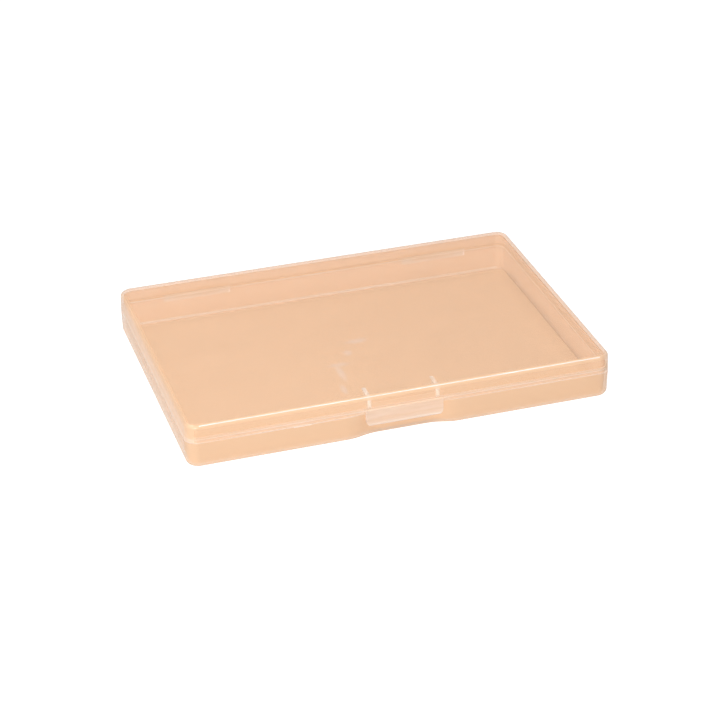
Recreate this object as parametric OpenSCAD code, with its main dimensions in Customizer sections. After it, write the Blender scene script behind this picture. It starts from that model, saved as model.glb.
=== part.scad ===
// Flat wet palette: a shallow hinged box in tinted clear plastic, with a
// snap latch at the front, a damp sponge sheet and a sheet of palette paper.
// Millimetres. +X right, +Y to the hinges, +Z up.
// Origin: centre of the tray's underside.

/* [Box] */
// Width of the closed box, left to right
box_w = 190; // [150:1:260]
// Depth of the closed box, front to back, without the hinge barrels
box_d = 133; // [105:1:190]
// Height of the closed box
box_h = 20.5; // [19:0.5:30]
// Radius of the upright corners
corner_r = 5.7; // [5.2:0.1:10]
// Thickness of the upright walls
wall_t = 1.5; // [1.4:0.1:2]
// Height of the parting line between tray and lid
seam_z = 12.1; // [11.5:0.1:13]

/* [Tray] */
// Thickness of the tray floor
floor_t = 1.2; // [1:0.1:2]
// Outside radius between tray wall and underside
foot_r = 2.5; // [1.5:0.1:3]
// Height of the inner lip above the parting line
lip_h = 1.9; // [1.5:0.1:2.1]
// Thickness of the inner lip
lip_t = 0.65; // [0.5:0.05:0.7]
// Depth of the thumb recess in the front wall
recess_d = 2.4; // [2:0.1:3]
// Half width of the flat part of the thumb recess
recess_flat = 10.5; // [10:0.5:14]
// Length of the curved run at each side of the thumb recess
recess_run = 15; // [12:0.5:20]

/* [Lid] */
// Thickness of the top panel
top_t = 1.2; // [1:0.1:1.6]
// Outside radius along the top edge
top_r = 2; // [1:0.1:2.5]
// Distance of each gusset from the middle
gusset_x = 15.25; // [12:0.25:16]
// Thickness of each gusset
gusset_t = 1.7; // [1:0.1:2.5]
// Reach of each gusset along the top panel
gusset_reach = 9; // [5:0.5:12]

/* [Latch] */
// Width of the latch tab
latch_w = 34.4; // [30:0.2:36]
// Height of the tab's lower edge above the table
latch_z = 6.1; // [5:0.1:7]
// Thickness of the tab
latch_t = 1.4; // [1.2:0.1:1.6]
// Radius of the tab's lower corners
latch_r = 2.4; // [1:0.1:3]
// How far the tab stands proud of the lid's front
latch_proud = 0.25; // [0:0.05:0.5]

/* [Hinge] */
// Distance of each hinge from the middle
hinge_x = 58.2; // [40:0.1:62]
// Overall length of one hinge barrel
hinge_len = 31.5; // [24:0.5:36]
// Outside radius of the hinge barrel
barrel_r = 1.8; // [1.6:0.1:2]
// Radius of the hinge pin
pin_r = 0.7; // [0.5:0.05:0.8]
// Length of each fixed knuckle at the ends of the barrel
knuckle_len = 5.2; // [4:0.1:7]

/* [Contents] */
// Thickness of the damp sponge sheet
sponge_t = 2; // [1.5:0.1:4]
// Width of the sponge sheet
sponge_w = 183.6; // [140:0.2:250]
// Gap between the sponge and the tray's back wall, for lifting it out
sponge_gap = 6; // [2:0.5:12]
// Thickness of the palette paper
paper_t = 0.2; // [0.1:0.05:0.4]
// How far the paper stays inside the sponge's edge
paper_inset = 0.6; // [0:0.1:3]

/* [Hidden] */
$fn = 64;
eps = 0.05;              // overlap that joins solids of one moulding
plastic = [0.95, 0.78, 0.64];

// Walls: draft and clearances
tray_draft = 0.29;       // the tray is this much narrower at its foot
lid_draft = 0.26;        // the lid is this much narrower at its top
seam_gap = 0.12;         // visible line between tray and lid
lip_gap = 0.15;          // lip to skirt, all round
edge_c = 0.2;            // small chamfer along both sides of the seam
under_u = 4.6;           // how far the lid's walls reach in under its top panel
inner_r = 1;             // fillet between wall and floor, or wall and panel
skirt_t = wall_t - lip_t - lip_gap;
lid_z = seam_z + seam_gap;
rabbet_gap = 0.2;        // lip to the lid above it
rabbet_z = seam_z + lip_h + rabbet_gap;
panel_lap = 0.4;         // top panel over the ring round it
front_y = -box_d / 2;
side_w = box_w - 2 * corner_r;
side_d = box_d - 2 * corner_r;

// Thumb recess: two equal tangent arcs make each curved run
recess_end = recess_flat + recess_run;
recess_r = (recess_run * recess_run + recess_d * recess_d) / (4 * recess_d);
recess_a = asin(recess_run / 2 / recess_r);
recess_steps = 6;
corner_steps = 12;
fillet_steps = 5;

// Small pry notch in the tray's front rim, left of the latch
notch_x = -49;
notch_w = 8;
notch_d = 0.5;
notch_h = 0.4;

// Latch: the tab turns about the middle of its own rounded top
pivot_y = front_y - latch_proud + latch_t / 2;
pivot_z = 13.5;
pivot_gap = 0.1;         // rounded top to its groove in the lid
window_gap = 0.25;       // tab edge to the window's side
panel_top_z = 17.5;      // top of the raised panel that carries the tab
hook_w = 20;
hook_z = 9.45;           // upper face of the hook
catch_gap = 0.15;        // hook to catch, at rest
catch_w = 25;
catch_reach = 0.85;      // catch stands out of the recessed wall
catch_edge = 0.35;       // height of the catch at its outer edge
catch_h = 1.9;           // height of the catch where it meets the wall
hook_bite = 0.6;         // how far the hook reaches behind the catch's edge
hook_edge = 0.45;        // height of the hook at its inner edge
hook_h = 2.1;            // height of the hook where it meets the tab
sink = 0.2;              // how far catch, hook and gussets are let in

// Gussets
gusset_low = 12.9;       // height of a gusset's lower end
gusset_knee = 14.4;      // height at which its slope starts
gusset_foot = 0.6;       // its depth below the slope

// Hinge
axis_y = box_d / 2 + 0.9;
axis_z = seam_z + 0.1;
barrel_gap = 0.3;        // clearance round the barrel and between knuckles
pin_gap = 0.06;          // running clearance of the pin in the lid knuckle
pin_short = 0.2;         // the pin ends sit this far inside the barrel ends
web_h = 1.8;             // height of the webs that carry the knuckles
web_sink = 0.6;          // how far the webs are let into the back walls
lid_knuckle_len = hinge_len - 2 * knuckle_len - 2 * barrel_gap;
web_y = box_d / 2 - web_sink;

// Contents, from the floor up
lay_gap = 0.05;
sponge_z = floor_t + lay_gap;
sponge_front = front_y + recess_d + wall_t + tray_draft + inner_r;
sponge_back = box_d / 2 - wall_t - tray_draft - sponge_gap;
sponge_d = sponge_back - sponge_front;
sponge_r = 3;
paper_z = sponge_z + sponge_t + lay_gap;

// Points on an arc from angle a0 to a1, leaving out the first when skip is 1
function arc(c, r, a0, a1, n, skip = 0) =
    [for (i = [skip : n])
        let (a = a0 + (a1 - a0) * i / n) [c[0] + r * cos(a), c[1] + r * sin(a)]];

// Plan of the tray, the given distance inside its widest outline. It runs
// anticlockwise from the front left: thumb recess, then the four corners.
function tray_plan(inset) =
    let (end_y = front_y + recess_r, flat_y = front_y + recess_d - recess_r,
         out_r = recess_r - inset, in_r = recess_r + inset, r = corner_r - inset)
    concat(
        arc([-recess_end, end_y], out_r, 270, 270 + recess_a, recess_steps),
        arc([-recess_flat, flat_y], in_r, 90 + recess_a, 90, recess_steps, 1),
        arc([recess_flat, flat_y], in_r, 90, 90 - recess_a, recess_steps),
        arc([recess_end, end_y], out_r, 270 - recess_a, 270, recess_steps, 1),
        arc([side_w / 2, -side_d / 2], r, 270, 360, corner_steps),
        arc([side_w / 2, side_d / 2], r, 0, 90, corner_steps),
        arc([-side_w / 2, side_d / 2], r, 90, 180, corner_steps),
        arc([-side_w / 2, -side_d / 2], r, 180, 270, corner_steps));

// How far the draft brings the tray's outer face in at height z
function tray_inset(z) = tray_draft * max(0, 1 - z / seam_z);

// Cross-section of the tray wall as [inset, z]: up the outside from the
// underside, over the rim and its lip, and down the inside to the floor
tray_section = concat(
    [for (i = [0 : fillet_steps])
        let (a = 90 * i / fillet_steps, z = foot_r * (1 - cos(a)))
        [tray_inset(z) + foot_r * (1 - sin(a)), z]],
    [[0, seam_z - edge_c], [edge_c, seam_z], [wall_t - lip_t, seam_z],
     [wall_t - lip_t, seam_z + lip_h - edge_c],
     [wall_t - lip_t + edge_c, seam_z + lip_h], [wall_t, seam_z + lip_h]],
    [for (i = [0 : fillet_steps])
        let (a = 90 * i / fillet_steps)
        [wall_t + tray_draft + inner_r * (1 - cos(a)),
         floor_t + inner_r * (1 - sin(a))]]);

// A closed shell through rings of equal length, from the first to the last,
// with a fan round the Z axis across each end
module loft(rings) {
    n = len(rings[0]);
    m = len(rings);
    last = (m - 1) * n;
    sides = [for (k = [0 : m - 2], i = [0 : n - 1], half = [0, 1])
        let (j = (i + 1) % n, lo = k * n, hi = lo + n)
        half == 0 ? [lo + i, hi + i, lo + j] : [lo + j, hi + i, hi + j]];
    ends = [for (i = [0 : n - 1], end = [0, 1])
        let (j = (i + 1) % n)
        end == 0 ? [m * n, i, j] : [m * n + 1, last + j, last + i]];
    polyhedron(points = concat([for (ring = rings) each ring],
                               [[0, 0, rings[0][0][2]], [0, 0, rings[m - 1][0][2]]]),
               faces = concat(sides, ends));
}

// Cross-section of the lid wall: x runs inwards from the outer face, y is up
module lid_section() {
    under_z = box_h - top_t;
    difference() {
        polygon([[0, lid_z + edge_c], [edge_c, lid_z], [skirt_t, lid_z],
                 [skirt_t, rabbet_z], [wall_t, rabbet_z],
                 [wall_t + lid_draft, under_z], [under_u, under_z],
                 [under_u, box_h], [lid_draft, box_h]]);
        fillet_cutter([lid_draft, box_h], top_r, 1, -1);
    }
    fillet_cutter([wall_t + lid_draft - eps / 2, under_z + eps / 2], inner_r, 1, -1);
}

// The corner sliver left between a square corner at p and a round of radius r
module fillet_cutter(p, r, sx, sy) {
    translate(p) scale([sx, sy]) difference() {
        translate([-eps, -eps]) square(r + eps);
        translate([r, r]) circle(r);
    }
}

// A straight stretch of wall from x0 to x1 along the front edge at y
module straight(x0, x1, y) {
    translate([x0, y, 0]) rotate([90, 0, 90]) linear_extrude(x1 - x0) children();
}

// A corner of the wall, turned about its upright centre line
module corner(centre, a0) {
    translate(centre) rotate(a0) rotate_extrude(angle = 90)
        translate([corner_r, 0]) mirror([1, 0]) children();
}

// The lid's four walls and corners
module four_walls() {
    for (s = [0, 180])
        rotate(s) straight(-side_w / 2, side_w / 2, -box_d / 2) children();
    for (s = [90, -90])
        rotate(s) straight(-side_d / 2, side_d / 2, -box_w / 2) children();
    for (k = [0 : 3]) {
        sx = (k == 0 || k == 3) ? 1 : -1;
        sy = k < 2 ? 1 : -1;
        corner([sx * side_w / 2, sy * side_d / 2, 0], k * 90) children();
    }
}

// A flat panel that closes the lid's walls from z up
module panel(z, t) {
    inset = under_u - panel_lap;
    translate([inset - box_w / 2, inset - box_d / 2, z])
        cube([box_w - 2 * inset, box_d - 2 * inset, t]);
}

// A rod along X, from x0 to x1, on the hinge axis or the latch pivot
module rod(x0, x1, y, z, r) {
    translate([x0, y, z]) rotate([0, 90, 0]) cylinder(h = x1 - x0, r = r);
}

// Places its children at both hinges
module both_hinges() {
    for (s = [-1, 1]) translate([s * hinge_x, 0, 0]) children();
}

// The two fixed knuckles of a hinge, or the space kept clear round them
module end_knuckles(r, grow) {
    inner = hinge_len / 2 - knuckle_len;
    for (s = [0, 1]) mirror([s, 0, 0])
        rod(inner, hinge_len / 2 + grow, axis_y, axis_z, r);
}

// Walls and floor of the tray, with the thumb recess in the front
module tray_shell() {
    loft([for (p = tray_section) [for (q = tray_plan(p[0])) [q[0], q[1], p[1]]]]);
}

module tray() {
    half = hinge_len / 2;
    inner = half - knuckle_len;
    color(plastic) difference() {
        union() {
            difference() {
                tray_shell();
                // Hollows for the lid's knuckles
                both_hinges() rod(-inner, inner, axis_y, axis_z, barrel_r + barrel_gap);
                // Small pry notch in the front rim
                translate([notch_x, front_y - 1, seam_z - notch_h])
                    cube([notch_w, notch_d + 1, notch_h + 1]);
            }
            both_hinges() {
                end_knuckles(barrel_r, 0);
                for (s = [0, 1]) mirror([s, 0, 0])
                    translate([inner, web_y, axis_z - web_h])
                        cube([knuckle_len, axis_y - web_y, web_h]);
            }
            catch();
        }
        both_hinges() rod(-half - 1, half + 1, axis_y, axis_z, pin_r);
    }
}

// Sloped catch on the recessed front wall
module catch() {
    face = front_y + recess_d;
    under = hook_z + catch_gap;
    translate([-catch_w / 2, 0, 0]) rotate([90, 0, 90]) linear_extrude(catch_w)
        polygon([[face + sink, under], [face - catch_reach, under],
                 [face - catch_reach, under + catch_edge],
                 [face + sink, under + catch_h]]);
}

module lid() {
    half = hinge_len / 2;
    knuckle = lid_knuckle_len / 2;
    window = latch_w / 2 + window_gap;
    color(plastic) difference() {
        union() {
            difference() {
                union() {
                    four_walls() lid_section();
                    panel(box_h - top_t, top_t);
                    latch_panel();
                }
                // Clearance for the fixed knuckles
                both_hinges() for (s = [0, 1]) mirror([s, 0, 0])
                    rod(knuckle, half + barrel_gap, axis_y, axis_z,
                        barrel_r + barrel_gap);
                // Window for the latch tab
                translate([-window, front_y - 1, lid_z - 1])
                    cube([2 * window, 1 + wall_t, pivot_z - lid_z + 1]);
                rod(-window, window, pivot_y, pivot_z, latch_t / 2 + pivot_gap);
            }
            both_hinges() {
                rod(-knuckle, knuckle, axis_y, axis_z, barrel_r);
                translate([-knuckle, web_y, lid_z])
                    cube([2 * knuckle, axis_y - web_y, web_h]);
            }
            for (s = [-1, 1]) translate([s * gusset_x, 0, 0]) gusset();
        }
        both_hinges() rod(-half, half, axis_y, axis_z, pin_r + pin_gap);
    }
}

// Raised panel above the latch, flush with the tab
module latch_panel() {
    translate([-latch_w / 2, front_y - latch_proud, lid_z])
        cube([latch_w, latch_proud + skirt_t / 2, panel_top_z - lid_z]);
}

// Gusset between the top panel and the front wall
module gusset() {
    face = front_y + wall_t;
    z1 = box_h - top_t + sink;
    translate([-gusset_t / 2, 0, 0]) rotate([90, 0, 90]) linear_extrude(gusset_t)
        polygon([[face - sink, gusset_low], [face + gusset_foot, gusset_low],
                 [face + gusset_foot, gusset_knee],
                 [face + gusset_reach, z1], [face - sink, z1]]);
}

// Outline of the latch tab, seen from the front
module latch_outline() {
    w = latch_w / 2;
    difference() {
        translate([-w, latch_z]) square([latch_w, pivot_z - latch_z + latch_t]);
        for (s = [-1, 1]) scale([s, 1]) translate([w, latch_z]) scale([-1, 1])
            fillet_cutter([0, 0], latch_r, 1, 1);
    }
}

module latch() {
    low_z = latch_z + latch_t / 2;
    root_y = pivot_y + latch_t / 2 - sink;
    hook_y = front_y + recess_d - catch_reach + hook_bite;
    color(plastic) {
        intersection() {
            union() {
                rod(-latch_w / 2, latch_w / 2, pivot_y, pivot_z, latch_t / 2);
                rod(-latch_w / 2, latch_w / 2, pivot_y, low_z, latch_t / 2);
                translate([-latch_w / 2, pivot_y - latch_t / 2, low_z])
                    cube([latch_w, latch_t, pivot_z - low_z]);
            }
            translate([0, pivot_y + latch_t, 0]) rotate([90, 0, 0])
                linear_extrude(2 * latch_t) latch_outline();
        }
        // Hook behind the tab, sloped underneath so that it rides over the catch
        translate([-hook_w / 2, 0, 0]) rotate([90, 0, 90]) linear_extrude(hook_w)
            polygon([[root_y, hook_z], [hook_y, hook_z],
                     [hook_y, hook_z - hook_edge], [root_y, hook_z - hook_h]]);
    }
}

module hinge_pin(x) {
    reach = hinge_len / 2 - pin_short;
    color(plastic) translate([x, 0, 0]) rod(-reach, reach, axis_y, axis_z, pin_r);
}

// A flat sheet with rounded corners
module sheet(w, y0, y1, r, z, t) {
    translate([0, 0, z]) linear_extrude(t) {
        translate([-w / 2 + r, y0]) square([w - 2 * r, y1 - y0]);
        translate([-w / 2, y0 + r]) square([w, y1 - y0 - 2 * r]);
        for (x = [-w / 2 + r, w / 2 - r], y = [y0 + r, y1 - r])
            translate([x, y]) circle(r);
    }
}

module sponge() {
    color([0.97, 0.86, 0.72])
        sheet(sponge_w, sponge_front, sponge_back, sponge_r, sponge_z, sponge_t);
}

module palette_paper() {
    i = paper_inset;
    color([0.98, 0.9, 0.82])
        sheet(sponge_w - 2 * i, sponge_front + i, sponge_back - i, sponge_r - i,
              paper_z, paper_t);
}

tray();
lid();
latch();
hinge_pin(-hinge_x);  // hinge_pin_left
hinge_pin(hinge_x);  // hinge_pin_right
sponge();
palette_paper();
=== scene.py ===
import bpy
import bmesh
import math
from mathutils import Vector, Matrix, noise


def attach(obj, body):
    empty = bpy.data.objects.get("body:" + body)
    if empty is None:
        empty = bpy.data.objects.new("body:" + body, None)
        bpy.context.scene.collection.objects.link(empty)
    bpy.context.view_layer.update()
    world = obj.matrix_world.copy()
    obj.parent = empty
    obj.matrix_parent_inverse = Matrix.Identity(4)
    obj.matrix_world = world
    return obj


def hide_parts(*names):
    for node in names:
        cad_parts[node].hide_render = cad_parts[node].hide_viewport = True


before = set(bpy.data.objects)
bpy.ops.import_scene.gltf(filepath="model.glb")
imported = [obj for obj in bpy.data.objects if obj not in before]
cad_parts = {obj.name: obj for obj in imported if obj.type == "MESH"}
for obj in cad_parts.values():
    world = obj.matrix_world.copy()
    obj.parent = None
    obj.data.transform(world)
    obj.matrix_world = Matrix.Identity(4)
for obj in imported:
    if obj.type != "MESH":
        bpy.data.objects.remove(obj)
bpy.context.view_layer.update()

MM = 0.001
scene = bpy.context.scene

# ---------------------------------------------------------------- dimensions
# All in millimetres, in the part's own frame.
# Outer size, corner radius in plan, wall, and the height where tray and lid meet
BOX_W, BOX_D, BOX_H = 190.0, 133.0, 20.5
CORNER_R, WALL_T, SEAM_Z = 5.7, 1.5, 12.1
FRONT_Y, BACK_Y = -BOX_D / 2, BOX_D / 2

# Tray: floor, rounding of the foot, rim lip, draft
FLOOR_T, FOOT_R = 1.2, 2.5
LIP_H, LIP_T = 1.9, 0.65
LIP_TOP = SEAM_Z + LIP_H
TRAY_DRAFT = 0.29

# Lid: top panel, rounding of its edge, draft, and the skirt that goes over the lip
TOP_T, TOP_R = 1.2, 2.0
LID_DRAFT = 0.26
SKIRT_T = WALL_T - LIP_T - 0.15
LID_Z = SEAM_Z + 0.12
RABBET_Z = LIP_TOP + 0.2

# Inner fillet of both shells, easing of rims, and the steps of round runs
INNER_R, EDGE = 1.0, 0.2
CORNER_STEPS = 14

# Thumb recess in the tray's front wall: depth, half of its flat, length of each curved run
RECESS_D, RECESS_FLAT, RECESS_RUN = 2.4, 10.5, 15.0
RECESS_R = (RECESS_RUN ** 2 + RECESS_D ** 2) / (4 * RECESS_D)
RECESS_A = math.degrees(math.asin(RECESS_RUN / 2 / RECESS_R))

# Small pry notch in the tray's front rim
NOTCH_X0, NOTCH_X1, NOTCH_D, NOTCH_H = -49, -41, 0.5, 0.4

# Hinges: barrels, pins, and the webs that join the barrels to the walls
HINGE_X, HINGE_LEN, BARREL_R, PIN_R, KNUCKLE = 58.2, 31.5, 1.8, 0.7, 5.2
AXIS_Y, AXIS_Z, BARREL_GAP, PIN_GAP = BACK_Y + 0.9, SEAM_Z + 0.1, 0.3, 0.06
WEB_H, WEB_Y = 1.8, BACK_Y - 0.6
LID_KNUCKLE = (HINGE_LEN - 2 * KNUCKLE - 2 * BARREL_GAP) / 2
BARREL_CHAMFER, PIN_CHAMFER = 0.12, 0.08

# Latch tab, the pivot that stands for its bending line, and its window in the lid
LATCH_W, LATCH_Z, LATCH_T, LATCH_R, PROUD = 34.4, 6.1, 1.4, 2.4, 0.25
PIVOT_Y, PIVOT_Z, PANEL_TOP = FRONT_Y - PROUD + LATCH_T / 2, 13.5, 17.5
WINDOW = LATCH_W / 2 + 0.25

# Catch on the tray and hook on the tab; parts that are joined sink into each other
CATCH_W, CATCH_Z, CATCH_REACH, CATCH_EDGE, CATCH_H = 25.0, 9.6, 0.85, 0.35, 1.9
HOOK_W, HOOK_TOP, HOOK_BITE, HOOK_TIP, HOOK_ROOT = 20.0, 9.45, 0.6, 0.45, 2.1
SINK = 0.2

# Gussets under the lid's top panel, one at each side of the latch
GUSSET_X, GUSSET_T, GUSSET_LOW, GUSSET_KNEE = 15.25, 1.7, 12.9, 14.4
GUSSET_FOOT, GUSSET_REACH = 0.6, 9.0

# Painted highlight lines that show through the clear walls: where the walls are split to paint them
BARREL_LOW = 10.4
MARK_IN, MARK_OUT = 0.5, 0.3
SEAM_LINE = (SEAM_Z + 0.4, SEAM_Z + 1.1)
LIP_LINE = (LIP_TOP - 0.4, LIP_TOP + 0.05)

# Sheets inside: plan from y0 to y1, underside z, thickness t, corner radius r
SPONGE = dict(w=183.6, y0=FRONT_Y + RECESS_D + WALL_T + TRAY_DRAFT + INNER_R,
              y1=BACK_Y - WALL_T - TRAY_DRAFT - 6, z=FLOOR_T + 0.05, t=2.0, r=3.0)
PAPER = dict(w=SPONGE["w"] - 1.2, y0=SPONGE["y0"] + 0.6, y1=SPONGE["y1"] - 0.6,
             z=SPONGE["z"] + SPONGE["t"] + 0.05, t=0.2, r=2.4)

# ------------------------------------------------------------------- colours
# Plastic where it is thin; painted highlight on its edges and lines, also the pale patches on the
# top
PEACH, PALE = (0.81, 0.56, 0.365), (0.80, 0.775, 0.755)
# How solid the plastic looks: plain, at its palest, and what the milky streaks add
ALPHA, PALE_ALPHA, MILK = 0.30, 0.85, 0.02
# Share of the way from plain to palest: seen edge on, and through walls and floor
RIM_SOLID, WALL_SOLID = 0.9, 0.55
# Damp sponge and paper
SHEET = (0.81, 0.65, 0.505)
# Pale patches on the lid's top: x, y and half sizes
PALE_PATCHES = ((-6, -18, 6, 2.5), (-13, -27, 2.5, 3), (-20, -36, 6, 2), (-21, -43, 2, 9),
          (-24, -57, 1.8, 5))

# --------------------------------------------------------------------- camera
AZIMUTH, ELEVATION, ROLL = -17.068, 29.081, -1.03
LENS, DISTANCE = 113.04, 1.02004
AIM_RIGHT, AIM_UP = 0.000808, 0.000328


# ------------------------------------------------------------------- outlines
def arc(cx, cy, r, a0, a1, steps, skip=0):
    """Points on an arc from a0 to a1 degrees."""
    out = []
    for i in range(skip, steps + 1):
        a = math.radians(a0 + (a1 - a0) * i / steps)
        out.append((cx + r * math.cos(a), cy + r * math.sin(a)))
    return out


def corners(inset, steps=CORNER_STEPS):
    """The box's plan, front right corner first, with points where the hinge barrels end."""
    r = CORNER_R - inset
    x, y = BOX_W / 2 - CORNER_R, BOX_D / 2 - CORNER_R
    out = arc(x, -y, r, 270, 360, steps) + arc(x, y, r, 0, 90, steps)
    for s in (1, -1):
        right = s * HINGE_X + HINGE_LEN / 2
        for end in (right + MARK_OUT, right - MARK_IN, s * HINGE_X - HINGE_LEN / 2):
            out.append((end, BACK_Y - inset))
    return out + arc(-x, y, r, 90, 180, steps) + arc(-x, -y, r, 180, 270, steps)


def tray_plan(inset):
    """Plan of the tray: thumb recess in the front, then the corners."""
    end_y, flat_y = FRONT_Y + RECESS_R, FRONT_Y + RECESS_D - RECESS_R
    far = RECESS_FLAT + RECESS_RUN
    out_r, in_r, a, n = RECESS_R - inset, RECESS_R + inset, RECESS_A, 8
    return (arc(-far, end_y, out_r, 270, 270 + a, n)
            + arc(-RECESS_FLAT, flat_y, in_r, 90 + a, 90, n, 1)
            + arc(RECESS_FLAT, flat_y, in_r, 90, 90 - a, n)
            + arc(far, end_y, out_r, 270 - a, 270, n, 1)
            + corners(inset))


def round_steps(n):
    """Angles of a quarter turn in n steps."""
    return [math.radians(90 * i / n) for i in range(n + 1)]


def tray_section():
    """[inset, z] up the outside, over rim and lip, down the inside."""
    out = []
    for a in round_steps(10):
        z = FOOT_R * (1 - math.cos(a))
        out.append((TRAY_DRAFT * max(0, 1 - z / SEAM_Z) + FOOT_R * (1 - math.sin(a)), z))
    lip, ease, inner_ease = WALL_T - LIP_T, EDGE * 0.3, 0.12
    out += [(TRAY_DRAFT * (1 - BARREL_LOW / SEAM_Z), BARREL_LOW),
            (0, SEAM_Z - EDGE), (ease, SEAM_Z - ease), (EDGE, SEAM_Z), (lip, SEAM_Z),
            (lip, LIP_TOP - EDGE), (lip + ease, LIP_TOP - ease), (lip + EDGE, LIP_TOP),
            (WALL_T - inner_ease, LIP_TOP), (WALL_T, LIP_TOP - inner_ease)]
    for z in (SEAM_LINE[1], SEAM_LINE[0], BARREL_LOW):
        out.append((WALL_T + TRAY_DRAFT * (LIP_TOP - z) / (LIP_TOP - FLOOR_T), z))
    for a in round_steps(7):
        out.append((WALL_T + TRAY_DRAFT + INNER_R * (1 - math.cos(a)),
                    FLOOR_T + INNER_R * (1 - math.sin(a))))
    return out


def lid_section():
    """[inset, z] from the top panel over the edge, down the outside and up the inside."""
    out = []
    for a in reversed(round_steps(14)):
        out.append((LID_DRAFT + TOP_R * (1 - math.cos(a)), BOX_H - TOP_R * (1 - math.sin(a))))
    for z in reversed(LIP_LINE):
        out.append((LID_DRAFT * (z - LID_Z) / (BOX_H - TOP_R - LID_Z), z))
    out += [(0, LID_Z + EDGE), (EDGE * 0.3, LID_Z + EDGE * 0.3), (EDGE, LID_Z),
            (SKIRT_T, LID_Z), (SKIRT_T, RABBET_Z), (WALL_T, RABBET_Z)]
    under = BOX_H - TOP_T
    for a in round_steps(7):
        out.append((WALL_T + LID_DRAFT + INNER_R * (1 - math.cos(a)),
                    under - INNER_R * (1 - math.sin(a))))
    return out


# --------------------------------------------------------------- mesh making
def add_object(name, mesh):
    obj = bpy.data.objects.new(name, mesh)
    scene.collection.objects.link(obj)
    return obj


def from_faces(name, verts, faces):
    mesh = bpy.data.meshes.new(name)
    mesh.from_pydata([Vector(v) * MM for v in verts], [], faces)
    mesh.update()
    return add_object(name, mesh)


def loft(name, rings):
    """A closed shell through rings of equal length, capped flat at both ends."""
    n, verts, faces = len(rings[0]), [v for r in rings for v in r], []
    for k in range(len(rings) - 1):
        for i in range(n):
            j = (i + 1) % n
            faces.append((k * n + i, k * n + j, (k + 1) * n + j, (k + 1) * n + i))
    faces.append(tuple(reversed(range(n))))
    last = (len(rings) - 1) * n
    faces.append(tuple(range(last, last + n)))
    return from_faces(name, verts, faces)


def rod(x0, x1, y, z, r, steps=48, chamfer=0.0):
    """A rod along X, with its end edges eased if asked."""
    ends = [(x0, r - chamfer), (x0 + chamfer, r), (x1 - chamfer, r), (x1, r - chamfer)] \
        if chamfer else [(x0, r), (x1, r)]
    rings = []
    for x, rr in ends:
        rings.append([(x, y + rr * math.cos(2 * math.pi * i / steps),
                       z + rr * math.sin(2 * math.pi * i / steps)) for i in range(steps)])
    return loft("rod", rings)


def prism(x0, x1, outline):
    """An outline in y and z, anticlockwise from the right, pushed along X."""
    return loft("prism", [[(x0, y, z) for y, z in outline], [(x1, y, z) for y, z in outline]])


def block(x0, x1, y0, y1, z0, z1):
    return prism(x0, x1, [(y0, z0), (y1, z0), (y1, z1), (y0, z1)])


def bevel(obj, width, steps=2, angle=40):
    mod = obj.modifiers.new("ease", "BEVEL")
    mod.width, mod.segments = width * MM, steps
    mod.limit_method, mod.angle_limit = "ANGLE", math.radians(angle)
    return obj


def settle(obj):
    """Turns the object's modifiers into its mesh."""
    bpy.context.view_layer.update()
    deps = bpy.context.evaluated_depsgraph_get()
    mesh = bpy.data.meshes.new_from_object(obj.evaluated_get(deps))
    old = obj.data
    obj.modifiers.clear()
    obj.data = mesh
    bpy.data.meshes.remove(old)
    return obj


def joined(base, parts, how):
    """base with all the parts added to it, or cut out of it."""
    for part in parts:
        if part.modifiers:
            settle(part)
        mod = base.modifiers.new("join", "BOOLEAN")
        mod.operation, mod.solver, mod.object = how, "EXACT", part
        settle(base)
        bpy.data.objects.remove(part)
    return base


def clean(obj):
    """Welds doubled points and makes the faces look outwards."""
    bm = bmesh.new()
    bm.from_mesh(obj.data)
    bmesh.ops.remove_doubles(bm, verts=bm.verts, dist=1e-6)
    bmesh.ops.dissolve_degenerate(bm, edges=bm.edges, dist=1e-7)
    bmesh.ops.recalc_face_normals(bm, faces=bm.faces)
    bm.to_mesh(obj.data)
    bm.free()
    return obj


def smooth(obj, angle=32):
    """Smooth shading with crisp edges above the angle, weighted by face size."""
    mesh = obj.data
    mesh.shade_smooth()
    mesh.set_sharp_from_angle(angle=math.radians(angle))
    mod = obj.modifiers.new("even_normals", "WEIGHTED_NORMAL")
    mod.keep_sharp, mod.weight = True, 60
    return settle(obj)


def paint_highlights_and_density(obj, shade):
    """Stores on every face its painted highlight, how pale it is, and how solid where the plastic
    is thick.

    shade(x, y, z, normal) gives both, in mm."""
    mesh = obj.data
    pairs = []
    for face in mesh.polygons:
        c = face.center / MM
        pairs.append(shade(c.x, c.y, c.z, face.normal))
    # edge holds the painted highlight, thick how solid the plastic looks
    for k, name in enumerate(("edge", "thick")):
        layer = mesh.attributes.new(name, "FLOAT", "FACE")
        layer.data.foreach_set("value", [p[k] for p in pairs])
    return obj


def near_hinge(x, y, z):
    """On a barrel or just off it."""
    return (abs(abs(x) - HINGE_X) < HINGE_LEN / 2 + 0.6
            and math.hypot(y - AXIS_Y, z - AXIS_Z) < BARREL_R + 0.5)


def inset_of(x, y):
    """How far inside the box's outer faces a point lies."""
    return min(BOX_W / 2 - abs(x), BOX_D / 2 - abs(y))


def barrel_highlight(x, y, z):
    """Painted highlight of the hinge barrels as they show through the back wall, strongest at their
    right ends.
    """
    if y < BACK_Y - WALL_T - 0.4 or not BARREL_LOW - 0.1 < z < LIP_TOP + 0.06:
        return 0
    for s in (-1, 1):
        away = x - s * HINGE_X
        if -MARK_IN < away - HINGE_LEN / 2 < MARK_OUT:
            return 1.0
        if abs(away) < HINGE_LEN / 2:
            return 0.6
    return 0


def barrel_shade(n):
    """Painted highlight on the barrels: strong at their ends, half as strong round them."""
    return (0.9, 0) if abs(n.x) > 0.5 else (0.5, 0)


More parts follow.
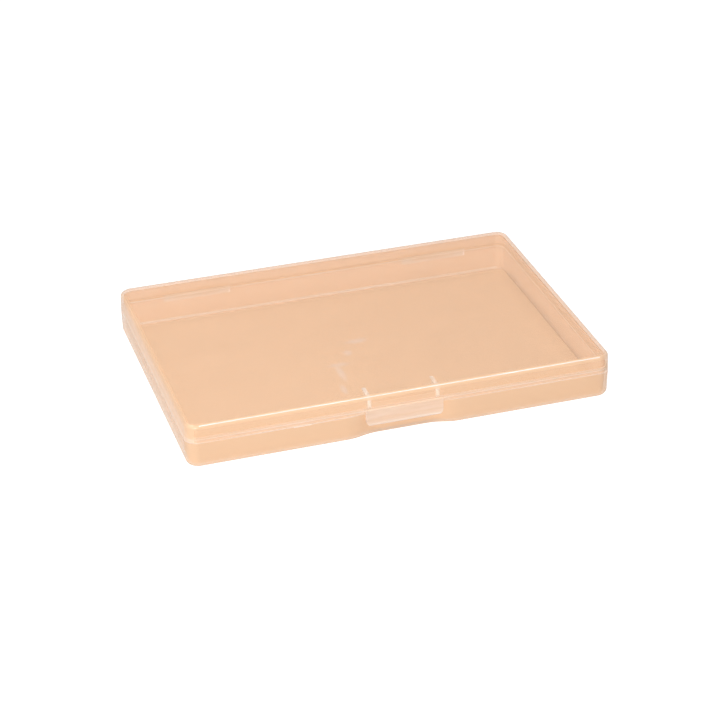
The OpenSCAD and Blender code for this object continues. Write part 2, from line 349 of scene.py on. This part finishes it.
def tray_shade(x, y, z, n):
    # Painted highlights: the tray's rims, seam, notch, catch and barrels, and lines seen through
    # its walls
    if near_hinge(x, y, z):
        return barrel_shade(n)
    pale = barrel_highlight(x, y, z)
    # painted highlight along the lip's top, strong at the front, faint at the back
    if z > LIP_TOP - EDGE - 0.02:
        return (0.8 if y < BACK_Y - 5 else 0.1), 0
    if SEAM_Z - EDGE - 0.02 < z < SEAM_Z + 0.02:
        return 0.6, 0
    if NOTCH_X0 - 0.2 < x < NOTCH_X1 + 0.2 and y < FRONT_Y + 0.6 and z > SEAM_Z - 0.5:
        return 1.0, 0
    on_catch = abs(x) < CATCH_W / 2 + 0.1 and FRONT_Y + 1 < y < FRONT_Y + RECESS_D + 0.05
    if on_catch and CATCH_Z - 0.1 < z < CATCH_Z + CATCH_H + 0.1:
        return 0.5, 0
    if SEAM_LINE[0] < z < SEAM_LINE[1] and inset_of(x, y) > WALL_T - 0.1:
        return max(0.85, pale), WALL_SOLID
    if z > SEAM_Z + 0.1 and inset_of(x, y) < WALL_T - 0.1:
        return max(0.3, pale), WALL_SOLID
    # painted highlight line where the floor turns up into the back and side walls
    if y > 0 and abs(x) < BOX_W / 2 - 4 and FLOOR_T + 0.05 < z < 2.0 and n.z > 0.2:
        return 0.8, WALL_SOLID
    return pale, WALL_SOLID


def lid_shade(x, y, z, n):
    # Painted highlights: the lid's rims and seam lines, the ribs, the latch window and the barrels
    if near_hinge(x, y, z):
        return barrel_shade(n)
    pale = barrel_highlight(x, y, z)
    if z < LID_Z + EDGE + 0.02:
        return 0.6, 0
    if abs(z - RABBET_Z) < 0.02:
        return 0.5, 0
    inside = y - FRONT_Y - WALL_T
    # the ribs are painted pale all over as highlight
    by_gusset = abs(abs(x) - GUSSET_X) < GUSSET_T / 2 + 0.05
    if by_gusset and 0.05 < inside < GUSSET_REACH + 0.2 and z < BOX_H - TOP_T - 0.05:
        return 1.0, 0
    if y < FRONT_Y + 0.02 and abs(x) < LATCH_W / 2 + 0.4 and z < PANEL_TOP + 0.02:
        return (0.05, 0) if abs(n.y) > 0.9 else (0.5, 0)
    if z > BOX_H - TOP_R and abs(n.z) < 0.995:
        # the front of the rounded top edge gets a painted highlight line, besides the soft box's
        # reflection there
        on_line = n.y < -0.3 and abs(n.x) < 0.02 and 0.64 < n.z < 0.77
        return (0.9 if on_line else 0), (WALL_SOLID if n.z < 0.9 else 0.15)
    if abs(n.z) > 0.9:
        return 0, 0
    if n.y < -0.9 and y < 0:
        if LIP_LINE[0] < z < LIP_LINE[1]:
            return 0.45, 0
        return (0.15 if z < LIP_TOP else 0), 0
    return max(pale, 0.3 if z < RABBET_Z else 0), WALL_SOLID


def latch_shade(x, y, z, n):
    # Painted highlight: strong on the tab's sides and lower edge, less on its front, faint behind
    if abs(n.x) > 0.3 or z < LATCH_Z + 0.5:
        return 0.9, 0
    return (0.5 if n.y < 0 else 0.2), 0


def finish_piece(obj, name, body, node, material):
    obj.name = name
    obj.data.name = name
    obj.data.materials.clear()
    obj.data.materials.append(material)
    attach(obj, body)
    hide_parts(node)
    return obj


# -------------------------------------------------------------------- pieces
def make_tray():
    obj = loft("tray_shell", [[(x, y, z) for x, y in tray_plan(i)] for i, z in tray_section()])
    inner, half = HINGE_LEN / 2 - KNUCKLE, HINGE_LEN / 2
    cuts = [rod(s * HINGE_X - inner, s * HINGE_X + inner, AXIS_Y, AXIS_Z, BARREL_R + BARREL_GAP)
            for s in (-1, 1)]
    cuts.append(block(NOTCH_X0, NOTCH_X1, FRONT_Y - 1, FRONT_Y + NOTCH_D, SEAM_Z - NOTCH_H,
                      SEAM_Z + 0.6))
    joined(obj, cuts, "DIFFERENCE")
    adds = []
    for s in (-1, 1):
        for t in (-1, 1):
            a, b = sorted((s * HINGE_X + t * inner, s * HINGE_X + t * half))
            adds.append(rod(a, b, AXIS_Y, AXIS_Z, BARREL_R, chamfer=BARREL_CHAMFER))
            adds.append(bevel(block(a + 0.02, b - 0.02, WEB_Y, AXIS_Y, AXIS_Z - WEB_H + 0.01,
                                    AXIS_Z), 0.1))
    root, tip = FRONT_Y + RECESS_D + SINK, FRONT_Y + RECESS_D - CATCH_REACH
    catch = prism(-CATCH_W / 2, CATCH_W / 2,
                  [(tip, CATCH_Z), (root, CATCH_Z), (root, CATCH_Z + CATCH_H),
                   (tip, CATCH_Z + CATCH_EDGE)])
    adds.append(bevel(catch, 0.08))
    joined(obj, adds, "UNION")
    joined(obj, [rod(s * HINGE_X - half - 1, s * HINGE_X + half + 1, AXIS_Y, AXIS_Z, PIN_R, 32)
                 for s in (-1, 1)], "DIFFERENCE")
    return paint_highlights_and_density(smooth(clean(obj)), tray_shade)


def gusset(x):
    """A rib from the lid's front wall to its top panel."""
    face, top = FRONT_Y + WALL_T, BOX_H - TOP_T + SINK
    side = [(face - SINK, GUSSET_LOW), (face + GUSSET_FOOT, GUSSET_LOW),
            (face + GUSSET_FOOT, GUSSET_KNEE), (face + GUSSET_REACH, top), (face - SINK, top)]
    return prism(x - GUSSET_T / 2, x + GUSSET_T / 2, side)


def make_lid():
    obj = loft("lid_shell", [[(x, y, z) for x, y in corners(i)] for i, z in lid_section()])
    panel = bevel(block(-LATCH_W / 2, LATCH_W / 2, FRONT_Y - PROUD, FRONT_Y + SKIRT_T / 2,
                        LID_Z, PANEL_TOP), 0.12)
    joined(obj, [panel], "UNION")
    half = HINGE_LEN / 2
    cuts = []
    for s in (-1, 1):
        for t in (-1, 1):
            a, b = sorted((s * HINGE_X + t * LID_KNUCKLE, s * HINGE_X + t * (half + BARREL_GAP)))
            cuts.append(rod(a, b, AXIS_Y, AXIS_Z, BARREL_R + BARREL_GAP))
    cuts.append(block(-WINDOW, WINDOW, FRONT_Y - 1, FRONT_Y + WALL_T, LID_Z - 1, PIVOT_Z))
    cuts.append(rod(-WINDOW, WINDOW, PIVOT_Y, PIVOT_Z, LATCH_T / 2 + 0.1))
    joined(obj, cuts, "DIFFERENCE")
    adds = []
    for s in (-1, 1):
        a, b = s * HINGE_X - LID_KNUCKLE, s * HINGE_X + LID_KNUCKLE
        adds.append(rod(a, b, AXIS_Y, AXIS_Z, BARREL_R, chamfer=BARREL_CHAMFER))
        web = block(a + 0.02, b - 0.02, WEB_Y, AXIS_Y, LID_Z, LID_Z + WEB_H - 0.01)
        adds.append(bevel(web, 0.1))
        adds.append(bevel(gusset(s * GUSSET_X), 0.15))
    joined(obj, adds, "UNION")
    joined(obj, [rod(s * HINGE_X - half, s * HINGE_X + half, AXIS_Y, AXIS_Z, PIN_R + PIN_GAP, 32)
                 for s in (-1, 1)], "DIFFERENCE")
    return paint_highlights_and_density(smooth(clean(obj)), lid_shade)


def make_latch():
    r = LATCH_T / 2
    low = LATCH_Z + r
    side = arc(PIVOT_Y, low, r, 180, 360, 16) + arc(PIVOT_Y, PIVOT_Z, r, 0, 180, 16)
    obj = prism(-LATCH_W / 2, LATCH_W / 2, side)
    w = LATCH_W / 2
    front = (arc(-w + LATCH_R, LATCH_Z + LATCH_R, LATCH_R, 180, 270, 12)
             + arc(w - LATCH_R, LATCH_Z + LATCH_R, LATCH_R, 270, 360, 12)
             + [(w, PIVOT_Z + 2), (-w, PIVOT_Z + 2)])
    mask = loft("mask", [[(x, y, z) for x, z in reversed(front)]
                         for y in (PIVOT_Y - 3, PIVOT_Y + 3)])
    joined(obj, [mask], "INTERSECT")
    tip = FRONT_Y + RECESS_D - CATCH_REACH + HOOK_BITE
    root = PIVOT_Y + r - SINK
    hook = prism(-HOOK_W / 2, HOOK_W / 2,
                 [(root, HOOK_TOP - HOOK_ROOT), (tip, HOOK_TOP - HOOK_TIP), (tip, HOOK_TOP),
                  (root, HOOK_TOP)])
    joined(obj, [bevel(hook, 0.08)], "UNION")
    bevel(clean(obj), 0.12, 2, 50)
    return paint_highlights_and_density(smooth(clean(settle(obj))), latch_shade)


def make_pin(s):
    reach = HINGE_LEN / 2 - 0.2
    return smooth(clean(rod(s * HINGE_X - reach, s * HINGE_X + reach, AXIS_Y, AXIS_Z, PIN_R, 32,
                            chamfer=PIN_CHAMFER)))


def make_sheet(name, w, y0, y1, z, t, r, edge, ripple):
    """A sheet on a fine grid with rounded corners, eased edges and a gentle ripple."""
    nx, ny = 120, 80
    hx, hy, cy = w / 2, (y1 - y0) / 2, (y0 + y1) / 2

    def place(u, v):
        """Plan position of a grid point, with u and v from -1 to 1, pulled in at the corners."""
        x, y = u * hx, v * hy
        ox, oy = max(0, abs(x) - (hx - r)), max(0, abs(y) - (hy - r))
        if ox > 0 and oy > 0:
            far = max(ox, oy) / max(1e-9, math.hypot(ox, oy))
            x = math.copysign(hx - r + ox * far, x)
            y = math.copysign(hy - r + oy * far, y)
        return x, y

    verts, faces = [], []
    for top in (1, 0):
        for j in range(ny + 1):
            for i in range(nx + 1):
                u, v = 2 * i / nx - 1, 2 * j / ny - 1
                x, y = place(u, v)
                verts.append((x, cy + y, z + t * top))
    row = nx + 1
    size = row * (ny + 1)
    for j in range(ny):
        for i in range(nx):
            a = j * row + i
            faces.append((a, a + 1, a + row + 1, a + row))
            b = a + size
            faces.append((b, b + row, b + row + 1, b + 1))
    rim = (list(range(nx)) + [j * row + nx for j in range(ny)]
           + [ny * row + i for i in range(nx, 0, -1)] + [j * row for j in range(ny, 0, -1)])
    for k, a in enumerate(rim):
        b = rim[(k + 1) % len(rim)]
        faces.append((a, a + size, b + size, b))
    obj = from_faces(name, verts, faces)
    clean(obj)
    for v in obj.data.vertices:
        if v.co.z > (z + t / 2) * MM:
            x, y = v.co.x / MM, v.co.y / MM
            wave = noise.noise(Vector((x * 0.03, y * 0.04, 3.7)))
            wave += 0.5 * noise.noise(Vector((x * 0.09, y * 0.08, 9.1)))
            drop = ripple * (0.5 + 0.5 * max(-1, min(1, wave)))
            v.co.z -= drop * MM
    if edge:
        bevel(obj, edge, 2, 60)
        settle(obj)
    return smooth(obj, 50)


# ----------------------------------------------------------------- materials
def new_material(name):
    mat = bpy.data.materials.new(name)
    mat.use_nodes = True
    return mat, mat.node_tree, mat.node_tree.nodes["Principled BSDF"]


def math_node(tree, how, a, b=None, clamp=False):
    node = tree.nodes.new("ShaderNodeMath")
    node.operation, node.use_clamp = how, clamp
    for socket, value in zip(node.inputs, (a, b)):
        if value is None:
            continue
        if isinstance(value, (int, float)):
            socket.default_value = value
        else:
            tree.links.new(value, socket)
    return node.outputs[0]


def mix_colour(tree, fac, a, b):
    node = tree.nodes.new("ShaderNodeMix")
    node.data_type = "RGBA"
    for socket, value in ((node.inputs[0], fac), (node.inputs[6], a), (node.inputs[7], b)):
        if isinstance(value, tuple):
            socket.default_value = (*value, 1)
        elif isinstance(value, (int, float)):
            socket.default_value = value
        else:
            tree.links.new(value, socket)
    return node.outputs[2]


def map_range(tree, value, lo, hi, to_lo=0.0, to_hi=1.0, smooth_step=False):
    node = tree.nodes.new("ShaderNodeMapRange")
    if smooth_step:
        node.interpolation_type = "SMOOTHSTEP"
    tree.links.new(value, node.inputs[0])
    for i, v in enumerate((lo, hi, to_lo, to_hi), 1):
        node.inputs[i].default_value = v
    return node.outputs[0]


def flow_marks_group():
    """Faint flow streaks and a slow wave, as on moulded sheet plastic."""
    group = bpy.data.node_groups.new("moulding_flow", "ShaderNodeTree")
    face = group.interface
    for name, default in (("Scale", 40.0), ("Stretch", 3.0)):
        face.new_socket(name, in_out="INPUT", socket_type="NodeSocketFloat").default_value = default
    face.new_socket("Vector", in_out="INPUT", socket_type="NodeSocketVector")
    for name in ("Streak", "Wave"):
        face.new_socket(name, in_out="OUTPUT", socket_type="NodeSocketFloat")
    inp, out = group.nodes.new("NodeGroupInput"), group.nodes.new("NodeGroupOutput")
    squash = group.nodes.new("ShaderNodeCombineXYZ")
    group.links.new(inp.outputs["Stretch"], squash.inputs[0])
    squash.inputs[1].default_value = squash.inputs[2].default_value = 1.0
    place = group.nodes.new("ShaderNodeVectorMath")
    place.operation = "MULTIPLY"
    group.links.new(inp.outputs["Vector"], place.inputs[0])
    group.links.new(squash.outputs[0], place.inputs[1])
    streak = group.nodes.new("ShaderNodeTexNoise")
    streak.inputs["Detail"].default_value = 4.0
    streak.inputs["Roughness"].default_value = 0.6
    group.links.new(place.outputs[0], streak.inputs["Vector"])
    group.links.new(inp.outputs["Scale"], streak.inputs["Scale"])
    wave = group.nodes.new("ShaderNodeTexNoise")
    wave.inputs["Detail"].default_value = 1.0
    group.links.new(inp.outputs["Vector"], wave.inputs["Vector"])
    group.links.new(math_node(group, "MULTIPLY", inp.outputs["Scale"], 0.35),
                    wave.inputs["Scale"])
    group.links.new(map_range(group, streak.outputs[0], 0.35, 0.7), out.inputs["Streak"])
    group.links.new(wave.outputs[0], out.inputs["Wave"])
    return group


def pale_patches(tree):
    """A few faint milky patches on the lid's top, each soft at its rim."""
    worst = None
    for x, y, w, d in PALE_PATCHES:
        place = tree.nodes.new("ShaderNodeVectorMath")
        place.operation = "MULTIPLY_ADD"
        tree.links.new(object_place(tree), place.inputs[0])
        place.inputs[1].default_value = (1 / (w * MM), 1 / (d * MM), 1000)
        place.inputs[2].default_value = (-x / w, -y / d, -BOX_H)
        far = tree.nodes.new("ShaderNodeVectorMath")
        far.operation = "LENGTH"
        tree.links.new(place.outputs[0], far.inputs[0])
        patch = map_range(tree, far.outputs["Value"], 0.3, 1.1, 1, 0, True)
        worst = patch if worst is None else math_node(tree, "MAXIMUM", worst, patch)
    return worst


def object_place(tree):
    return tree.nodes.new("ShaderNodeTexCoord").outputs["Object"]


def use_group(tree, group, **values):
    node = tree.nodes.new("ShaderNodeGroup")
    node.node_tree = group
    tree.links.new(object_place(tree), node.inputs["Vector"])
    for name, value in values.items():
        node.inputs[name].default_value = value
    return node


def bump(tree, height, strength, distance):
    node = tree.nodes.new("ShaderNodeBump")
    node.inputs["Strength"].default_value = strength
    node.inputs["Distance"].default_value = distance
    tree.links.new(height, node.inputs["Height"])
    return node.outputs[0]


def moulded_plastic(flow):
    """Clear peach plastic: see-through, a little milky, made paler by painted highlights along its
    edges and lines and by a few pale patches.
    """
    mat, tree, shader = new_material("moulded_peach_plastic")
    marks = use_group(tree, flow, Scale=26.0, Stretch=0.35)
    rim = tree.nodes.new("ShaderNodeLayerWeight")
    rim.inputs["Blend"].default_value = 0.5
    grazing = map_range(tree, rim.outputs["Facing"], 0.6, 1.0, 0, 1, True)
    edge, thick = tree.nodes.new("ShaderNodeAttribute"), tree.nodes.new("ShaderNodeAttribute")
    edge.attribute_name, thick.attribute_name = "edge", "thick"
    fine = use_group(tree, flow, Scale=260.0, Stretch=0.12)
    uneven = map_range(tree, fine.outputs["Streak"], 0, 1, 0.75, 1.2)
    # painted highlight from each face's edge layer, made a little uneven
    pale = math_node(tree, "MULTIPLY", edge.outputs["Fac"], uneven, True)
    patch_paleness = math_node(tree, "MULTIPLY", pale_patches(tree),
                       map_range(tree, marks.outputs["Streak"], 0, 1, 0.75, 1.0))
    # colour runs from PEACH to PALE with the painted highlight or the pale patches
    tint = math_node(tree, "MAXIMUM", pale, patch_paleness)
    milk = math_node(tree, "MULTIPLY", marks.outputs["Streak"], MILK)
    tree.links.new(mix_colour(tree, tint, PEACH, PALE), shader.inputs["Base Color"])
    dense = math_node(tree, "MAXIMUM", math_node(tree, "MULTIPLY", grazing, RIM_SOLID),
                      thick.outputs["Fac"])
    dense = math_node(tree, "MAXIMUM", dense, pale)
    solid = math_node(tree, "ADD", math_node(tree, "MULTIPLY", dense, PALE_ALPHA - ALPHA), ALPHA)
    tree.links.new(math_node(tree, "ADD", solid, milk, True), shader.inputs["Alpha"])
    tree.links.new(map_range(tree, marks.outputs["Streak"], 0, 1, 0.045, 0.07),
                   shader.inputs["Roughness"])
    tree.links.new(bump(tree, marks.outputs["Wave"], 0.1, 0.0002), shader.inputs["Normal"])
    shader.inputs["IOR"].default_value = 1.5
    clear = tree.nodes.new("ShaderNodeBsdfTransparent")
    clear.inputs[0].default_value = (0.98, 0.93, 0.88, 1)
    mix = tree.nodes.new("ShaderNodeMixShader")
    path = tree.nodes.new("ShaderNodeLightPath")
    tree.links.new(path.outputs["Is Shadow Ray"], mix.inputs[0])
    tree.links.new(shader.outputs[0], mix.inputs[1])
    tree.links.new(clear.outputs[0], mix.inputs[2])
    tree.links.new(mix.outputs[0], tree.nodes["Material Output"].inputs[0])
    return mat


def scaled(colour, k):
    """A colour made k times as bright."""
    return tuple(min(1.0, c * k) for c in colour)


def rim_shade_mask(tree, half_x, mid_y, half_y, wide):
    """Mask for painted shade: 1 at the edge of a sheet, easing to 0 a little way in from it."""
    xyz = tree.nodes.new("ShaderNodeSeparateXYZ")
    tree.links.new(object_place(tree), xyz.inputs[0])
    along = math_node(tree, "SUBTRACT", math_node(tree, "ABSOLUTE", xyz.outputs[0]), half_x * MM)
    y = math_node(tree, "ABSOLUTE", math_node(tree, "SUBTRACT", xyz.outputs[1], mid_y * MM))
    across = math_node(tree, "SUBTRACT", y, half_y * MM)
    return map_range(tree, math_node(tree, "MAXIMUM", along, across), -wide * MM, -0.3 * MM,
                     0, 1, True)


def sponge_foam(flow):
    """Damp sponge: fine open cells with painted shade in their small mouths, wetter in slow
    patches.
    """
    mat, tree, shader = new_material("damp_sponge")
    patch = use_group(tree, flow, Scale=45.0, Stretch=0.8)
    cells = tree.nodes.new("ShaderNodeTexVoronoi")
    cells.inputs["Scale"].default_value = 900.0
    tree.links.new(object_place(tree), cells.inputs["Vector"])
    grain = tree.nodes.new("ShaderNodeTexNoise")
    grain.inputs["Scale"].default_value, grain.inputs["Detail"].default_value = 2200.0, 3.0
    tree.links.new(object_place(tree), grain.inputs["Vector"])
    mouth = map_range(tree, cells.outputs["Distance"], 0.05, 0.45, 1, 0, True)
    dry = mix_colour(tree, patch.outputs["Streak"], SHEET, scaled(SHEET, 0.93))
    # painted shade: the cells' mouths are darkened in colour as well as sunk in the bump
    tree.links.new(mix_colour(tree, math_node(tree, "MULTIPLY", mouth, 0.55), dry,
                              scaled(SHEET, 0.62)), shader.inputs["Base Color"])
    height = math_node(tree, "SUBTRACT", math_node(tree, "MULTIPLY", grain.outputs[0], 0.4), mouth)
    tree.links.new(bump(tree, height, 0.5, 0.0002), shader.inputs["Normal"])
    tree.links.new(map_range(tree, patch.outputs["Streak"], 0, 1, 0.9, 0.6),
                   shader.inputs["Roughness"])
    return mat


def parchment_paper(flow):
    """Thin damp parchment: long faint fibres, cloudy where it is wetter, with painted shade
    darkening it towards the rim.
    """
    mat, tree, shader = new_material("damp_parchment")
    cloud = use_group(tree, flow, Scale=55.0, Stretch=0.7)
    fibre = use_group(tree, flow, Scale=420.0, Stretch=0.12)
    tone = math_node(tree, "ADD", math_node(tree, "MULTIPLY", cloud.outputs["Streak"], 0.6),
                     math_node(tree, "MULTIPLY", fibre.outputs["Streak"], 0.4))
    base = mix_colour(tree, tone, scaled(SHEET, 1.02), scaled(SHEET, 0.95))
    # painted shade: the paper darkens within 7 mm of its rim, where the gap to the walls lies in
    # shade
    rim = rim_shade_mask(tree, PAPER["w"] / 2, (PAPER["y0"] + PAPER["y1"]) / 2,
                    (PAPER["y1"] - PAPER["y0"]) / 2, 7)
    tree.links.new(mix_colour(tree, math_node(tree, "MULTIPLY", rim, 0.45), base,
                              scaled(SHEET, 0.78)), shader.inputs["Base Color"])
    tree.links.new(map_range(tree, cloud.outputs["Wave"], 0.3, 0.7, 0.6, 0.8),
                   shader.inputs["Roughness"])
    shader.inputs["Specular IOR Level"].default_value = 0.25
    tree.links.new(bump(tree, fibre.outputs["Streak"], 0.25, 0.0001), shader.inputs["Normal"])
    return mat


def pin_plastic(flow):
    """Clear rod drawn from the same plastic: darker through its thickness, lined lengthways."""
    mat, tree, shader = new_material("clear_pin_rod")
    lines = use_group(tree, flow, Scale=900.0, Stretch=0.03)
    tree.links.new(mix_colour(tree, lines.outputs["Streak"], (0.5, 0.33, 0.2), (0.62, 0.43, 0.28)),
                   shader.inputs["Base Color"])
    tree.links.new(map_range(tree, lines.outputs["Streak"], 0, 1, 0.12, 0.3),
                   shader.inputs["Roughness"])
    tree.links.new(bump(tree, lines.outputs["Streak"], 0.3, 0.00005), shader.inputs["Normal"])
    return mat


# --------------------------------------------------------------------- stage
def camera():
    """A long lens, aimed near the origin, turned and tipped as named at the top."""
    az, el, roll = (math.radians(a) for a in (AZIMUTH, ELEVATION, ROLL))
    back = Vector((math.sin(az) * math.cos(el), -math.cos(az) * math.cos(el), math.sin(el)))
    flat = Vector((math.cos(az), math.sin(az), 0))
    rise = back.cross(flat)
    right = math.cos(roll) * flat + math.sin(roll) * rise
    up = -math.sin(roll) * flat + math.cos(roll) * rise
    data = bpy.data.cameras.new("camera")
    data.sensor_width, data.lens = 36, LENS
    data.clip_start, data.clip_end = 0.05, 20
    cam = add_object("camera", data)
    m = Matrix((right, up, back)).transposed().to_4x4()
    m.translation = back * DISTANCE + right * AIM_RIGHT + up * AIM_UP
    cam.matrix_world = m
    scene.camera = cam


def area_light(name, place, size, power):
    data = bpy.data.lights.new(name, "AREA")
    data.shape, data.size, data.size_y, data.energy = "RECTANGLE", size[0], size[1], power
    obj = add_object(name, data)
    obj.location = place
    obj.rotation_euler = (-Vector(place)).to_track_quat("-Z", "Y").to_euler()


def seen_directly(tree):
    """1 for rays from the camera and through glass, less for mirror rays."""
    path = tree.nodes.new("ShaderNodeLightPath")
    through = math_node(tree, "MAXIMUM", path.outputs["Is Camera Ray"],
                        path.outputs["Is Transmission Ray"])
    return math_node(tree, "MAXIMUM", through,
                     math_node(tree, "MULTIPLY", path.outputs["Is Glossy Ray"], 0.5))


def white_world(level):
    world = bpy.data.worlds.new("studio")
    scene.world = world
    world.use_nodes = True
    tree = world.node_tree
    tree.nodes.clear()
    out = tree.nodes.new("ShaderNodeOutputWorld")
    mix = tree.nodes.new("ShaderNodeMixShader")
    for slot_no, strength in ((1, level), (2, 1.0)):
        light = tree.nodes.new("ShaderNodeBackground")
        light.inputs["Color"].default_value = (1, 1, 1, 1)
        light.inputs["Strength"].default_value = strength
        tree.links.new(light.outputs[0], mix.inputs[slot_no])
    tree.links.new(seen_directly(tree), mix.inputs[0])
    tree.links.new(mix.outputs[0], out.inputs[0])


def white_floor():
    mesh = bpy.data.meshes.new("floor")
    mesh.from_pydata([(x, y, -1e-4) for x, y in ((-2, -2), (2, -2), (2, 2), (-2, 2))], [],
                     [(0, 1, 2, 3)])
    floor = add_object("floor", mesh)
    mat = bpy.data.materials.new("floor_white")
    mat.use_nodes = True
    tree = mat.node_tree
    tree.nodes.clear()
    out = tree.nodes.new("ShaderNodeOutputMaterial")
    matt = tree.nodes.new("ShaderNodeBsdfDiffuse")
    matt.inputs[0].default_value = (0.55, 0.55, 0.55, 1)
    glow = tree.nodes.new("ShaderNodeEmission")
    away = tree.nodes.new("ShaderNodeVectorMath")
    away.operation = "LENGTH"
    tree.links.new(object_place(tree), away.inputs[0])
    level = map_range(tree, away.outputs["Value"], 0.4, 1.4, 0.72, 1.0)
    add = tree.nodes.new("ShaderNodeAddShader")
    tree.links.new(math_node(tree, "MULTIPLY", seen_directly(tree), level),
                   glow.inputs["Strength"])
    tree.links.new(matt.outputs[0], add.inputs[0])
    tree.links.new(glow.outputs[0], add.inputs[1])
    tree.links.new(add.outputs[0], out.inputs[0])
    mesh.materials.append(mat)


# --------------------------------------------------------------------- build
flow = flow_marks_group()
plastic = moulded_plastic(flow)
rods = pin_plastic(flow)
foam = sponge_foam(flow)
parchment = parchment_paper(flow)

finish_piece(make_tray(), "tray_moulding", "tray", "tray", plastic)
finish_piece(make_lid(), "lid_moulding", "lid", "lid", plastic)
finish_piece(make_latch(), "latch_tab", "latch", "latch", plastic)
finish_piece(make_pin(-1), "pin_rod_left", "tray", "hinge_pin_left", rods)
finish_piece(make_pin(1), "pin_rod_right", "tray", "hinge_pin_right", rods)
pad = finish_piece(make_sheet("pad", edge=0.3, ripple=0.12, **SPONGE), "sponge_sheet", "sponge",
                   "sponge", foam)
finish_piece(make_sheet("leaf", edge=0, ripple=0.05, **PAPER), "parchment_leaf", "paper",
             "palette_paper", parchment)

camera()
area_light("soft_box", (0.2565, -0.493, 0.887), (0.55, 0.2), 3.4)
area_light("front_fill", (-0.9, -1.4, 0.5), (1.2, 0.6), 18.5)
area_light("side_fill", (-0.5, -0.1, 0.6), (0.5, 0.5), 2.5)
white_world(0.28)
white_floor()
scene.view_settings.view_transform = "Standard"
